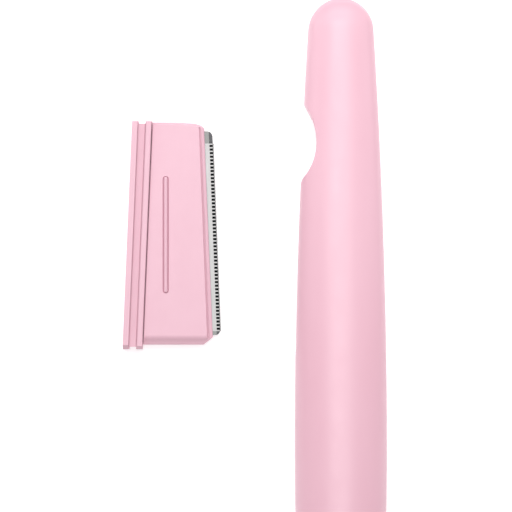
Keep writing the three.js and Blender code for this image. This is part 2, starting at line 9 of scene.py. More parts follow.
import bmesh
import bpy
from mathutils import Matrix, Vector


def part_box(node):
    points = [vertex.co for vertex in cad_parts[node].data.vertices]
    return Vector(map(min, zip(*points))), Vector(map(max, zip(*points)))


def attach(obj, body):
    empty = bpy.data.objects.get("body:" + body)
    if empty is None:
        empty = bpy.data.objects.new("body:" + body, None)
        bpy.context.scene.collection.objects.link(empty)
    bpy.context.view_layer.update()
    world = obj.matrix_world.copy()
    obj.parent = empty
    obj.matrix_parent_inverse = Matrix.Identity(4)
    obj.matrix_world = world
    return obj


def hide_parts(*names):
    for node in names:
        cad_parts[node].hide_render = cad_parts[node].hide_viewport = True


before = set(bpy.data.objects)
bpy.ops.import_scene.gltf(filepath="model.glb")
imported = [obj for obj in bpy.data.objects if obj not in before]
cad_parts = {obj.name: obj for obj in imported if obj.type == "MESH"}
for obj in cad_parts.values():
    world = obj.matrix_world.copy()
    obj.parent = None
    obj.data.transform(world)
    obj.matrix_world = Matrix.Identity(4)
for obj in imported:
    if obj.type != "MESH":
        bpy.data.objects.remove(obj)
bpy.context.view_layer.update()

MM = 0.001


def box_mm(node):
    """The lowest and highest corner of a CAD node, in millimetres."""
    low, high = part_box(node)
    return Vector(low) / MM, Vector(high) / MM


# ---- the handle's form ----

SHELL_LOW, SHELL_HIGH = box_mm("front_shell")
SEAM = SHELL_LOW.z  # the front shell parts from the back pieces at this height
TIP, TAIL = SHELL_HIGH.y, SHELL_LOW.y
GRIP_WIDTH = SHELL_HIGH.x - SHELL_LOW.x
GRIP_HEIGHT = SHELL_HIGH.z
END_GAP = 0.04  # the ends are cut this far short of their points
HEAD_LENGTH, TAIL_LENGTH = TIP + END_GAP, -TAIL + END_GAP
HEAD_LOSS, TAIL_LOSS = 5.4, 4.2  # width lost from the widest place to each end
HEAD_HEIGHT, TAIL_DROP = 7.3, 1.2
HEAD_TAPER, TAIL_TAPER = 1.9, 1.8  # powers: how late the width is lost towards each end
SWELL_START, SWELL_END, TAIL_DROP_START = 12, 95, 100  # distances from the tip
TIP_ROUND, TAIL_ROUND = 5.2, 6.0
ROUND_POWER = 1.95
DOME_POWER = 2.3
BACK_EDGE = 0.8
WALL = 1.5
BACK_TOP = box_mm("head_base")[1].z


def smoothstep(value, low, high):
    """Runs from 0 to 1 between low and high, level at both."""
    t = min(max((value - low) / (high - low), 0), 1)
    return t * t * (3 - 2 * t)


def half_width(y):
    """Half the handle's width at its seam, without the rounding of its ends."""
    if y > 0:
        return (GRIP_WIDTH - HEAD_LOSS * (y / HEAD_LENGTH) ** HEAD_TAPER) / 2
    return (GRIP_WIDTH - TAIL_LOSS * (-y / TAIL_LENGTH) ** TAIL_TAPER) / 2


def height(y):
    """How high the top of the dome stands over the table."""
    from_tip = HEAD_LENGTH - y
    swell = (GRIP_HEIGHT - HEAD_HEIGHT) * smoothstep(from_tip, SWELL_START, SWELL_END)
    drop = TAIL_DROP * smoothstep(from_tip, TAIL_DROP_START, HEAD_LENGTH + TAIL_LENGTH)
    return HEAD_HEIGHT + swell - drop


def end_rounding(y):
    """The share of its full section that the handle has there, less than 1 near its two ends."""
    share = 1
    for distance, length in ((HEAD_LENGTH - y, TIP_ROUND), (y + TAIL_LENGTH, TAIL_ROUND)):
        if distance < length:
            share *= (1 - (1 - distance / length) ** ROUND_POWER) ** (1 / ROUND_POWER)
    return share


def stations(low, high, spacing, end_steps):
    """Places along the handle, evenly spaced along its length and closer round its ends."""
    places = []
    for i in range(end_steps):
        share = 1 - math.cos(i / end_steps * math.pi / 2)
        places += [TIP - share * TIP_ROUND, TAIL + share * TAIL_ROUND]
    straight = TIP - TAIL - TIP_ROUND - TAIL_ROUND
    count = round(straight / spacing)
    places += [TAIL + TAIL_ROUND + straight * i / count for i in range(count + 1)]
    kept = {round(y, 4) for y in places if low < y < high} | {low, high}
    return sorted(kept)


# ---- where the pieces meet ----


def centre(node):
    """Where a CAD node's middle lies, seen from above."""
    low, high = box_mm(node)
    return (low.x + high.x) / 2, (low.y + high.y) / 2


FIT = 0.12  # room round a shank, a head or a tongue
NOTCH_X, NOTCH_Y = -4.3, 52.78  # the finger notch's deepest point
NOTCH_UPPER, NOTCH_LOWER, NOTCH_BLEND = 11.7, 9.1, 2.5  # its radii
NOTCH_REACH, NOTCH_FOOT = 5, 7  # how far it is cut past the side, and how far below it meets the side
LEDGE_REACH, LEDGE_HEIGHT = 0.75, 0.7
BAY_CLEAR = 0.3
CHAMBER_LOW = TAIL + 5 - END_GAP
CHAMBER_HIGH = box_mm("grip_base")[1].y - LEDGE_REACH - 2
BOSS = 2.3
FAR = 12  # past the handle's top, for holes that go right through
SHELL_SCREW_NAMES = ("head_screw", "grip_screw_upper", "grip_screw_lower")
SMALL_SCREW_NAMES = ("guide_screw_upper", "guide_screw_lower", "detent_screw")
SHELL_SCREWS = [centre(name) for name in SHELL_SCREW_NAMES]
SMALL_SCREWS = [centre(name) for name in SMALL_SCREW_NAMES]
SHELL_SHANK, SMALL_SHANK = 0.95, 0.55
HEAD_RADIUS, SMALL_HEAD = 1.75, 1.25
SCREW_HEAD, SMALL_SCREW_HEAD = 1.1, 0.42  # the heads' heights
HEXAGON, HEXAGON_DEPTH = 0.8, 0.6
CROSS_ARM, CROSS_HALF, CROSS_DEPTH = 0.75, 0.17, 0.36
THREAD_TURNS, THREAD_PITCH, THREAD_DEPTH = 8, 0.34, 0.14
PLUG_SLOT, PLUG_SLOT_HALF = 0.9, 0.2
SHELL_SCREW_END = box_mm("head_screw")[1].z
SMALL_SCREW_END = box_mm("detent_screw")[1].z
WELL_TOP = 1.9
GUIDE_WELL = 0.75
SEAT_SIDE, SEAT_END = 0.25, 0.6  # room round the leaf
POCKET_LEFT, POCKET_RIGHT, POCKET_DEPTH = 1.0, 3.5, 0.55
POCKETS = ((24.5, 31), (33, 39.5))
PAD_RIB, PAD_RIB_PITCH = 0.9, 1.35
GROOVE_COUNT, GROOVE_PITCH, GROOVE_FIRST = 7, 4, -8
GROOVE_HALF_LENGTH, GROOVE_HALF_WIDTH, GROOVE_DEPTH = 4.6, 0.45, 0.35
LEAF_TOP = box_mm("detent_spring")[1].z
LEAF_THICK, LEAF_FLEX, CLAMP_LENGTH = 0.28, 0.8, 1.7
PIVOT_Y = SMALL_SCREWS[2][1]
NIB, NIB_LENGTH, NIB_Y = 0.5, 5, 36.89  # the leaf's rib
DENT_INSET, DENT_FLOOR = 0.24, 0.28

SPINE_LOW, SPINE_HIGH = box_mm("spine_rail")
GUARD_LOW, GUARD_HIGH = box_mm("guard")
CARRIER_LOW, CARRIER_HIGH = box_mm("carrier")
BLADE_LOW, BLADE_HIGH = box_mm("blade")
DOCK = 30  # how far the cartridge slides to be home in the bay
SPINE_LEAN, EDGE_LEAN = 0.0419, 0.0394
SPINE_WIDTH, SPINE_GAP = 3.41, 0.17
OUTER_RIB, CHANNEL = 0.97, 1.44
INNER_RIB_TOP, CHANNEL_FLOOR = 3.7, 3.0
FOOT_WIDTH, FOOT_DEPTH = 0.17, 0.3
WEB_SETBACK, WEB_INSET = 0.45, 0.1
SLANT, SLANT_DROP = 0.75, 1.8
CORNER_TOP, CORNER_BOTTOM = 0.98, (1.6, 1.25)
REBATE_DEPTH, REBATE_HEIGHT = 1.05, 0.95
FACE_Z = 3.1
BEVEL_TOP, BEVEL_BOTTOM, BEVEL_SIDE, BEVEL_HEIGHT = 0.38, 1.4, 0.78, 0.8
BEAD_X = -30.52
BEAD_LOW, BEAD_HIGH, BEAD_HALF, BEAD_RISE = 26.73, 46.96, 0.52, 0.36
BLADE_HOLES = [(-25.6, y) for y in (47.5, 36.9, 26.3)]
BLADE_HOLE = 0.8
BLADE_GAP, BLADE_SETBACK, BLADE_BEVEL, BLADE_CORNER = 0.05, 0.09, 0.62, 0.9
SHADE_STRIP_WIDTH = 0.82  # width of the strip along the edge, under the guard, painted black as shade
RECESSES, RECESS_SIDE, RECESS_RIGHT, RECESS_DEPTH = ((21.5, 35.9), (37.9, 52.3)), 5.2, 4.2, 0.35
TONGUE_END, TONGUE_DEPTH, TONGUE_LOW, TONGUE_HIGH = 1.5, 1, 0.85, 1.7
CARRIER_GAP = 0.05  # between the carrier and the spine
BEAD_INSET, BEAD_ROOT = 0.18, 0.4
GROOVE_OUT, GROOVE_END, GROOVE_LIFT, GROOVE_RISE = 0.02, 0.1, 0.05, 0.47  # the groove round the bead
FOLD_DEPTH = 0.62  # of the groove along the face's edge
NOSE = 0.08  # the guard's fold stands this far outside the cutting edge's line
GUARD_REACH, GUARD_HIDDEN, GUARD_ROOM, GUARD_SHEET = 1.45, 0.9, 0.1, 0.14
WINDOWS, WINDOW_SHARE, WINDOW_DEPTH = 52, 0.65, 0.76
WINDOW_WIDTH, WINDOW_INSET = 0.41, 0.02


def spine_x(y, offset=0):
    """The spine's outer face. It leans away from the blade towards its lower end."""
    return SPINE_LOW.x + SPINE_LEAN * (y - SPINE_LOW.y) + offset


def edge_x(y, offset=0):
    """The cutting edge's line, which leans the other way."""
    return GUARD_HIGH.x - NOSE - EDGE_LEAN * (y - GUARD_LOW.y) + offset


# ---- modelling helpers ----


def object_mode():
    bpy.ops.object.mode_set(mode="OBJECT")


def select_all():
    bpy.ops.mesh.select_all(action="SELECT")


def clear():
    """Leaves edit mode with nothing selected."""
    if bpy.context.mode != "OBJECT":
        object_mode()
    bpy.ops.object.select_all(action="DESELECT")


def only(piece):
    """Makes piece the one that is selected and active."""
    clear()
    piece.select_set(True)
    bpy.context.view_layer.objects.active = piece


def named(name):
    """Names the piece that was just added."""
    piece = bpy.context.active_object
    piece.name = name
    piece.data.name = name
    return piece


def block(name, low, high):
    """A cube primitive at its size and place."""
    clear()
    middle = [(a + b) / 2 for a, b in zip(low, high)]
    size = [b - a for a, b in zip(low, high)]
    bpy.ops.mesh.primitive_cube_add(size=1, location=middle, scale=size)
    bpy.ops.object.transform_apply(location=True, rotation=False, scale=True)
    return named(name)


def disc(name, x, y, low, high, radius, sides=48):
    """An upright cylinder primitive at its size and place."""
    clear()
    bpy.ops.mesh.primitive_cylinder_add(
        vertices=sides, radius=radius, depth=high - low, location=(x, y, (low + high) / 2)
    )
    bpy.ops.object.transform_apply(location=True, rotation=False, scale=False)
    return named(name)


def traced(name, points):
    """A flat face, its outline drawn by pulling one vertex from point to point."""
    clear()
    bpy.ops.mesh.primitive_plane_add(size=1)
    piece = named(name)
    bpy.ops.object.mode_set(mode="EDIT")
    bpy.ops.mesh.select_mode(type="VERT")
    select_all()
    bpy.ops.mesh.merge(type="CENTER")
    bpy.ops.transform.translate(value=points[0])
    for start, end in zip(points, points[1:] + points[:1]):
        step = [b - a for a, b in zip(start, end)]
        bpy.ops.mesh.extrude_vertices_move(TRANSFORM_OT_translate={"value": step})
    select_all()
    bpy.ops.mesh.remove_doubles(threshold=0.0005)
    bpy.ops.mesh.edge_face_add()
    return piece


def plate(name, outline, low, high):
    """A plate whose outline is traced at one height and pulled up to the other."""
    piece = traced(name, [(x, y, low) for x, y in outline])
    pull(0, 0, high - low)
    outward()
    return piece


def outward():
    """Turns every face outwards and leaves edit mode."""
    select_all()
    bpy.ops.mesh.normals_make_consistent(inside=False)
    object_mode()


def pick(piece, kind, test):
    """In edit mode, selects the vertices, edges or faces that pass the test, and says if any do."""
    bpy.ops.mesh.select_mode(type=kind)
    bpy.ops.mesh.select_all(action="DESELECT")
    mesh = bmesh.from_edit_mesh(piece.data)
    items = {"VERT": mesh.verts, "EDGE": mesh.edges, "FACE": mesh.faces}[kind]
    chosen = [item for item in items if test(item)]
    for item in chosen:
        item.select_set(True)
    mesh.select_flush_mode()
    bmesh.update_edit_mesh(piece.data)
    return bool(chosen)


def edit(piece):
    only(piece)
    bpy.ops.object.mode_set(mode="EDIT")


def pull(x, y, z):
    """In edit mode, extrudes what is selected and moves it by that step."""
    bpy.ops.mesh.extrude_region_move(TRANSFORM_OT_translate={"value": (x, y, z)})


def sharp(edge, least=30):
    """True where the faces turn by more than that many degrees."""
    return len(edge.link_faces) == 2 and edge.calc_face_angle(0) > math.radians(least)


def middle(item):
    return sum((v.co for v in item.verts), Vector()) / len(item.verts)


def upright(edge, least=1):
    """True for an edge that climbs by more than that."""
    return abs(edge.verts[0].co.z - edge.verts[1].co.z) > least


def level(edge, z, slack=0.001):
    """True for an edge that lies at that height."""
    return all(abs(v.co.z - z) < slack for v in edge.verts)


def round_edges(piece, width, segments=3, where=None, least=30):
    """Bevels the sharp edges that pass the test."""
    edit(piece)
    if pick(piece, "EDGE", lambda e: sharp(e, least) and (where is None or where(e))):
        bpy.ops.mesh.bevel(
            offset_type="OFFSET",
            offset=width,
            segments=segments,
            profile=0.5,
            affect="EDGES",
            clamp_overlap=False,
            miter_outer="ARC",
        )
    object_mode()


def boolean(piece, tool, operation="DIFFERENCE"):
    """Cuts piece with tool, or joins them, and the tool is used up."""
    only(piece)
    modifier = piece.modifiers.new(operation.lower(), "BOOLEAN")
    modifier.object = tool
    modifier.operation = operation
    modifier.solver = "EXACT"
    bpy.ops.object.modifier_apply(modifier=modifier.name)
    bpy.data.objects.remove(tool)


def drill(piece, spots, low, high, radius, sides=24):
    """Cuts the same upright round hole at each of the spots."""
    for x, y in spots:
        boolean(piece, disc("hole", x, y, low, high, radius, sides))


def clean_rim(piece, near, reach):
    """After a cut, merges the short steps along its rim and dissolves the points too close to it."""
    edit(piece)
    pick(piece, "VERT", lambda v: near(v.co, 0.002))
    bpy.ops.mesh.remove_doubles(threshold=reach * 0.6)
    rim = set()
    mesh = bmesh.from_edit_mesh(piece.data)
    for e in mesh.edges:
        if sharp(e) and near(e.verts[0].co, 0.01) and near(e.verts[1].co, 0.01):
            rim.update(e.verts)
    points = [v.co.copy() for v in rim]
    pick(
        piece,
        "VERT",
        lambda v: v not in rim and not v.is_boundary and any((v.co - p).length < reach for p in points),
    )
    bpy.ops.mesh.dissolve_verts()
    object_mode()


def finished(piece, material, body, node, angle=35):
    """Smooths the piece's shading, brings it to metres, ties it to its body and hides its CAD node."""
    only(piece)
    piece.scale = (MM, MM, MM)
    bpy.ops.object.transform_apply(location=False, rotation=False, scale=True)
    bpy.ops.object.shade_smooth_by_angle(angle=math.radians(angle))
    modifier = piece.modifiers.new("faces_flat", "WEIGHTED_NORMAL")
    modifier.keep_sharp = True
    bpy.ops.object.modifier_apply(modifier=modifier.name)
    piece.data.materials.clear()
    piece.data.materials.append(material)
    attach(piece, body)
    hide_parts(node)
    return piece


# ---- materials ----


def new_material(name):
    """A material, its node tree and its shader."""
    material = bpy.data.materials.new(name)
    material.use_nodes = True
    tree = material.node_tree
    shader = tree.nodes["Principled BSDF"]
    return material, tree, shader


def put(made, values):
    """Sets a node's sockets."""
    for socket, value in values.items():
        made.inputs[socket].default_value = value


def object_coordinates(tree, scale=(1, 1, 1)):
    place = tree.nodes.new("ShaderNodeTexCoord")
    mapping = tree.nodes.new("ShaderNodeMapping")
    put(mapping, {"Scale": scale})
    tree.links.new(place.outputs["Object"], mapping.inputs["Vector"])
    return mapping.outputs["Vector"]


def noise(tree, coordinates, scale, detail=3, roughness=0.5):
    made = tree.nodes.new("ShaderNodeTexNoise")
    put(made, {"Scale": scale, "Detail": detail, "Roughness": roughness})
    tree.links.new(coordinates, made.inputs["Vector"])
    return made.outputs["Fac"]


def ranged(tree, value, from_low, from_high, to_low, to_high):
    """Stretches a value from one range to another."""
    made = tree.nodes.new("ShaderNodeMapRange")
    put(made, {"From Min": from_low, "From Max": from_high, "To Min": to_low, "To Max": to_high})
    tree.links.new(value, made.inputs["Value"])
    return made.outputs["Result"]


def ramp(tree, value, *stops):
    """Turns a value into a colour, through stops of (value, colour)."""
    made = tree.nodes.new("ShaderNodeValToRGB")
    elements = made.color_ramp.elements
    for element, (place, colour) in zip(elements, stops):
        element.position = place
        element.color = (*colour, 1)
    tree.links.new(value, made.inputs["Fac"])
    return made.outputs["Color"]


def bump(tree, shader, layers):
    """Stacks bump layers, each (height, distance in metres, strength)."""
    normal = None
    for value, distance, strength in layers:
        made = tree.nodes.new("ShaderNodeBump")
        put(made, {"Distance": distance, "Strength": strength})
        tree.links.new(value, made.inputs["Height"])
        if normal:
            tree.links.new(normal, made.inputs["Normal"])
        normal = made.outputs["Normal"]
    tree.links.new(normal, shader.inputs["Normal"])


def surface(tree, shader, colour, roughness):
    tree.links.new(colour, shader.inputs["Base Color"])
    tree.links.new(roughness, shader.inputs["Roughness"])


def moulded_plastic(name, deep, pale, rough, shine=0.5):
    """Satin moulded plastic: faint flow clouds in its colour, orange peel and a fine spark-etched grain."""
    material, tree, shader = new_material(name)
    place = object_coordinates(tree)
    stretched = object_coordinates(tree, (1, 0.25, 1))
    clouds = noise(tree, stretched, 150, 4)
    colour = ramp(tree, clouds, (0.3, deep), (0.7, pale))
    patches = noise(tree, place, 420, 3)
    surface(tree, shader, colour, ranged(tree, patches, 0.3, 0.7, rough - 0.04, rough + 0.05))
    peel = noise(tree, place, 900, 2)
    grain = noise(tree, place, 9000, 2)
    bump(tree, shader, [(peel, 0.000012, 0.35), (grain, 0.000003, 0.5)])
    put(shader, {"IOR": 1.49, "Specular IOR Level": shine})
    return material


def drawn_metal(name, dark, light, rough, lines=(9000, 260, 9000), depth=0.000002):
    """Metal with fine lines from rolling or grinding, so many to the metre along X, Y and Z."""
    material, tree, shader = new_material(name)
    along = object_coordinates(tree, [count / 1000 for count in lines])
    streaks = noise(tree, along, 1000, 4, 0.6)
    colour = ramp(tree, streaks, (0.3, dark), (0.7, light))
    surface(tree, shader, colour, ranged(tree, streaks, 0.3, 0.7, rough - 0.05, rough + 0.08))
    bump(tree, shader, [(streaks, depth, 0.5)])
    put(shader, {"Metallic": 1})
    return material


def soft_rubber(name, dark, light, rough):
    """Matt rubber with a fine speckle."""
    material, tree, shader = new_material(name)
    place = object_coordinates(tree)
    speckle = noise(tree, place, 2600, 4)
    colour = ramp(tree, speckle, (0.3, dark), (0.7, light))
    surface(tree, shader, colour, ranged(tree, speckle, 0.2, 0.8, rough - 0.08, rough + 0.08))
    bump(tree, shader, [(speckle, 0.00003, 0.5)])
    return material


SHELL_PINK = moulded_plastic("handle_pink", (0.762, 0.443, 0.53), (0.777, 0.463, 0.55), 0.34, 0.62)
CARTRIDGE_PINK = moulded_plastic("cartridge_pink", (0.738, 0.45, 0.532), (0.753, 0.47, 0.552), 0.42, 0.4)
GUIDE_WHITE = moulded_plastic("guide_white", (0.74, 0.72, 0.71), (0.8, 0.78, 0.77), 0.5)
BLADE_STEEL = drawn_metal("blade_steel", (0.11, 0.113, 0.11), (0.17, 0.174, 0.17), 0.34)
EDGE_STEEL = drawn_metal("ground_edge", (0.09, 0.09, 0.095), (0.14, 0.14, 0.145), 0.36, (300, 9000, 300))
# Painted shade: this near-black stands in for the shadow under the guard, on the blade's edge strip and
# inside the guard's fold.
PAINTED_SHADE_BLACK = drawn_metal("painted_shade_black", (0.006, 0.006, 0.007), (0.014, 0.014, 0.016), 0.45)
GUARD_STEEL = drawn_metal("guard_foil", (0.40, 0.40, 0.397), (0.47, 0.47, 0.467), 0.52)
SPRING_STEEL = drawn_metal("spring_strip", (0.36, 0.37, 0.39), (0.5, 0.51, 0.53), 0.28)
BAR_STEEL = drawn_metal("cold_drawn_bar", (0.28, 0.29, 0.3), (0.42, 0.43, 0.44), 0.42)
SCREW_STEEL = drawn_metal(
    "screw_steel", (0.5, 0.51, 0.52), (0.64, 0.65, 0.66), 0.33, (1500, 1500, 1500), 0.0000008
)
PLUG_RUBBER = soft_rubber("plug_rubber", (0.68, 0.35, 0.44), (0.75, 0.41, 0.5), 0.6)
PAD_RUBBER = soft_rubber("pad_rubber", (0.012, 0.012, 0.014), (0.03, 0.03, 0.033), 0.85)

# ---- camera, floor and light ----

VIEW_WIDTH = 89.04
VIEW_CENTRE = (-14.78, 33.13)
LENS, SENSOR = 200, 36
FLOOR_SIZE, FLOOR_WHITE, FLOOR_GLOW = 3, 0.82, 0.42
AMBIENT = 0.36


def make_camera():
    """It looks straight down on the cartridge and the upper part of the handle."""
    clear()
    distance = VIEW_WIDTH / 2 / (SENSOR / 2 / LENS) + SEAM
    place = Vector((VIEW_CENTRE[0], VIEW_CENTRE[1], distance)) * MM
    bpy.ops.object.camera_add(location=place, rotation=(0, 0, 0))
    camera = bpy.context.active_object
    camera.data.sensor_width = SENSOR
    camera.data.lens = LENS
    camera.data.clip_start = 0.01
    camera.data.clip_end = 10
    bpy.context.scene.camera = camera


def make_floor():
    """A plain white table, just under the object, that glows a little so its shadows stay pale."""
    clear()
    bpy.ops.mesh.primitive_plane_add(size=FLOOR_SIZE, location=(0, 0, -0.00002))
    floor = named("floor")
    material, _, shader = new_material("white_table")
    put(shader, {"Base Color": (FLOOR_WHITE, FLOOR_WHITE, FLOOR_WHITE, 1), "Roughness": 0.7})
    put(shader, {"Emission Color": (1, 1, 1, 1), "Emission Strength": FLOOR_GLOW})
    floor.data.materials.append(material)


def softbox(name, place, target, size, power):
    """A rectangular light, in metres, turned to its target."""
    clear()
    bpy.ops.object.light_add(type="AREA", location=place)
    light = named(name)
    light.data.shape = "RECTANGLE"
    light.data.size, light.data.size_y = size
    light.data.energy = power
    light.rotation_euler = (Vector(target) - Vector(place)).to_track_quat("-Z", "Y").to_euler()
    light.visible_camera = False


def make_light():
    softbox("overhead_box", (-0.015, 0.035, 0.9), (-0.015, 0.035, 0), (0.24, 0.9), 3.6)
    softbox("head_end_box", (-0.015, 0.65, 0.6), (-0.015, 0.035, 0), (0.6, 0.35), 2.0)
    for side, name, power in ((-1, "left_box", 0.064), (1, "right_box", 0.05)):
        softbox(name, (side * 0.13, 0.12, 0.1), (0, 0.075, 0.005), (0.12, 0.12), power)
    softbox("head_box", (0.0, 0.115, 0.16), (0, 0.078, 0), (0.2, 0.05), 0.055)
    world = bpy.data.worlds.new("studio")
    bpy.context.scene.world = world
    world.use_nodes = True
    put(world.node_tree.nodes["Background"], {"Color": (1, 1, 1, 1), "Strength": AMBIENT})
    view = bpy.context.scene.view_settings
    view.view_transform = "Standard"
    view.look = "None"


make_camera()
make_floor()
make_light()

# ---- handle ----


def dome_section(y, inset, steps):
    """The front shell's section at y: the dome over the seam, from right to left."""
    half, rise = half_width(y) - inset, height(y) - inset - SEAM
    share = 2 / DOME_POWER
    points = []
    for i in range(2 * steps + 1):
        a = i / steps * math.pi / 2
        side = 1 if i <= steps else -1
        points.append((side * half * abs(math.cos(a)) ** share, y, SEAM + rise * math.sin(a) ** share))
    return points


def back_section(y, inset, steps):
    """The back pieces' section at y: straight sides and a rounded flat back, under the seam."""
    half = half_width(y) - inset
    points = [(half, y, SEAM)]
    for i in range(steps + 1):
        a = i / steps * math.pi / 2
        points.append((half - BACK_EDGE * (1 - math.cos(a)), y, inset + BACK_EDGE * (1 - math.sin(a))))
    return points + [(-x, y, z) for x, y, z in reversed(points)]


def pulled_along(name, section, places, sizes):
    """A section is traced at the first place, and pulled and resized from each place to the next."""
    first = [(x * sizes[0][0], y, SEAM + (z - SEAM) * sizes[0][1]) for x, y, z in section]
    piece = traced(name, first)
    for i in range(len(places) - 1):
        step = places[i + 1] - places[i]
        pull(0, step, 0)
        bpy.ops.transform.resize(
            value=(sizes[i + 1][0] / sizes[i][0], 1, sizes[i + 1][1] / sizes[i][1]),
            center_override=(0, places[i + 1], SEAM),
        )
    outward()
    return piece


def dome_height(y, inset):
    return height(y) - inset - SEAM


def back_height(y, inset):
    """The back is equally deep all along."""
    return 1


DOME = (dome_section, dome_height)
BACK = (back_section, back_height)


def formed(side, name, inset, low, high, steps, spacing, end_steps):
    """The handle's form above or below the seam, between two places along it."""
    section, tall = side
    places = stations(low, high, spacing, end_steps)
    first = places[0]
    sizes = []
    for y in places:
        share = end_rounding(y)
        wide = (half_width(y) - inset) / (half_width(first) - inset)
        sizes.append((wide * share, tall(y, inset) / tall(first, inset) * share))
    return pulled_along(name, section(first, inset, steps), places, sizes)


def notch_outline():
    """The finger notch in the handle's left side: two arcs that meet at its deepest point, and a blend."""
    points = []
    top_angle = math.acos(1 - NOTCH_REACH / NOTCH_UPPER)
    steps, blend_steps = 40, 12
    for i in range(steps + 1):
        a = top_angle * (1 - i / steps)
        points.append((NOTCH_X - NOTCH_UPPER * (1 - math.cos(a)), NOTCH_Y + NOTCH_UPPER * math.sin(a)))
    side_x = -half_width(NOTCH_Y - NOTCH_FOOT)
    centre_x = NOTCH_X - NOTCH_LOWER
    across = side_x + NOTCH_BLEND - centre_x
    blend_y = NOTCH_Y - math.sqrt((NOTCH_LOWER + NOTCH_BLEND) ** 2 - across**2)
    tangent = math.atan2(blend_y - NOTCH_Y, across)
    for i in range(1, steps + 1):
        a = tangent * i / steps
        points.append((centre_x + NOTCH_LOWER * math.cos(a), NOTCH_Y + NOTCH_LOWER * math.sin(a)))
    turn = math.pi + tangent
    for i in range(1, blend_steps + 1):
        a = turn + (math.pi - turn) * i / blend_steps
        points.append(
            (side_x + NOTCH_BLEND + NOTCH_BLEND * math.cos(a), blend_y + NOTCH_BLEND * math.sin(a))
        )
    return points + [(side_x - 0.05, blend_y - 0.4), (side_x - NOTCH_REACH, blend_y - 0.4)]


NOTCH_LINE = notch_outline()


def off_line(point, line):
    """How far a point is from an open line of points, seen from above."""
    least = 1000
    flat = Vector((point.x, point.y))
    for start, end in zip(line, line[1:]):
        a, b = Vector(start), Vector(end)
        along = b - a
        share = min(max((flat - a).dot(along) / along.length_squared, 0), 1)
        least = min(least, (a + along * share - flat).length)
    return least


def near_notch(point, reach):
    """True for points on the notch's wall or its rim."""
    return point.x < -2 and off_line(point, NOTCH_LINE[:-1]) < reach


def notch_cutter():
    return plate("notch_cutter", NOTCH_LINE[::-1], -1, FAR)


def cut_chamber(piece, side, steps, way):
    """Half of the weight's chamber, open at the seam. The bosses for two screws are left standing in it."""
    chamber = formed(side, "chamber", WALL, CHAMBER_LOW, CHAMBER_HIGH, steps, 4, 4)
    edit(chamber)
    pick(chamber, "FACE", lambda f: f.normal.z * way > 0.9)
    pull(0, 0, way)
    object_mode()
    drill(chamber, SHELL_SCREWS[1:], -1, FAR, BOSS, 48)
    boolean(piece, chamber)


def dowel_hole():
    low, high = box_mm("head_dowel")
    radius = (high.x - low.x) / 2 + FIT
    return disc("dowel_hole", *centre("head_dowel"), low.z - FIT, high.z + FIT, radius, 24)


def front_shell():
    """The domed front half, with its notch, the weight's chamber, the guide's pocket and the screw holes."""
    piece = formed(DOME, "front_shell_moulding", 0, TAIL, TIP, 16, 1.3, 12)
    boolean(piece, notch_cutter())
    clean_rim(piece, near_notch, 0.2)
    round_edges(piece, 0.1, 3)
    cut_chamber(piece, DOME, 8, -1)
    low, high = box_mm("bay_guide")
    pocket = block(
        "pocket", (low.x - FIT, low.y - FIT, SEAM - 1), (high.x + FIT, high.y + FIT, high.z + 0.06)
    )
    round_edges(pocket, 0.4, 3, upright)
    boolean(piece, pocket)
    boolean(piece, dowel_hole())
    drill(piece, SHELL_SCREWS, -1, SHELL_SCREW_END + FIT, SHELL_SHANK + FIT)
    drill(piece, SMALL_SCREWS, SEAM, SMALL_SCREW_END + FIT, SMALL_SHANK + FIT, 16)
    return finished(piece, SHELL_PINK, "handle", "front_shell")


def spine_room():
    """Room at the bay's left corners for the spine, which is longer than the cartridge's body."""
    y0, y1 = SPINE_LOW.y - BAY_CLEAR, SPINE_HIGH.y + BAY_CLEAR
    inner = DOCK + SPINE_WIDTH + BAY_CLEAR
    outline = [(-20, y0), (spine_x(y0, inner), y0), (spine_x(y1, inner), y1), (-20, y1)]
    return plate("spine_room", outline, -2, SEAM + 1)


def back_piece(name, low, high, ledge_low, ledge_high):
    """A back piece of the handle. It is cut away above its ledge, which carries an end of the cartridge."""
    piece = formed(BACK, name, 0, low, high, 6, 1.3, 12)
    edit(piece)
    select_all()
    bpy.ops.mesh.bisect(plane_co=(0, 0, BACK_TOP), plane_no=(0, 0, 1), use_fill=True, clear_outer=True)
    object_mode()
    boolean(piece, block("over_ledge", (-20, ledge_low, LEDGE_HEIGHT), (20, ledge_high, SEAM + 1)))
    boolean(piece, spine_room())
    return piece


def screw_well(piece, spot):
    """A well for a screw's head and its plug, and the hole for its shank."""
    drill(piece, [spot], -1, WELL_TOP, HEAD_RADIUS + FIT, 40)
    drill(piece, [spot], 0, FAR, SHELL_SHANK + FIT)


def head_back():
    """The back of the head, above the bay."""
    bay = box_mm("head_base")[0].y
    piece = back_piece("head_back_moulding", bay, TIP, bay - 1, bay + LEDGE_REACH)
    boolean(piece, notch_cutter())
    clean_rim(piece, near_notch, 0.2)
    round_edges(piece, 0.12, 3)
    screw_well(piece, SHELL_SCREWS[0])
    boolean(piece, dowel_hole())
    soften_wells(piece)
    return finished(piece, SHELL_PINK, "handle", "head_base")


def soften_wells(piece):
    """A small rounding round each screw well's mouth in the back."""
    round_edges(piece, 0.1, 2, lambda e: level(e, 0) and off_well(middle(e)) < 0.05)


def off_well(point):
    """How far a point is from the nearest well's wall."""
    return min(abs(math.hypot(point.x - x, point.y - y) - HEAD_RADIUS - FIT) for x, y in SHELL_SCREWS)


def grip_back():
    """The back of the grip, from the bay to the tail, with the other half of the weight's chamber."""
    bay = box_mm("grip_base")[1].y
    piece = back_piece("grip_back_moulding", TAIL, bay, bay - LEDGE_REACH, bay + 1)
    round_edges(piece, 0.12, 3)
    cut_chamber(piece, BACK, 3, 1)
    for spot in SHELL_SCREWS[1:]:
        screw_well(piece, spot)
    soften_wells(piece)
    boolean(piece, grip_grooves())
    return finished(piece, SHELL_PINK, "handle", "grip_base")


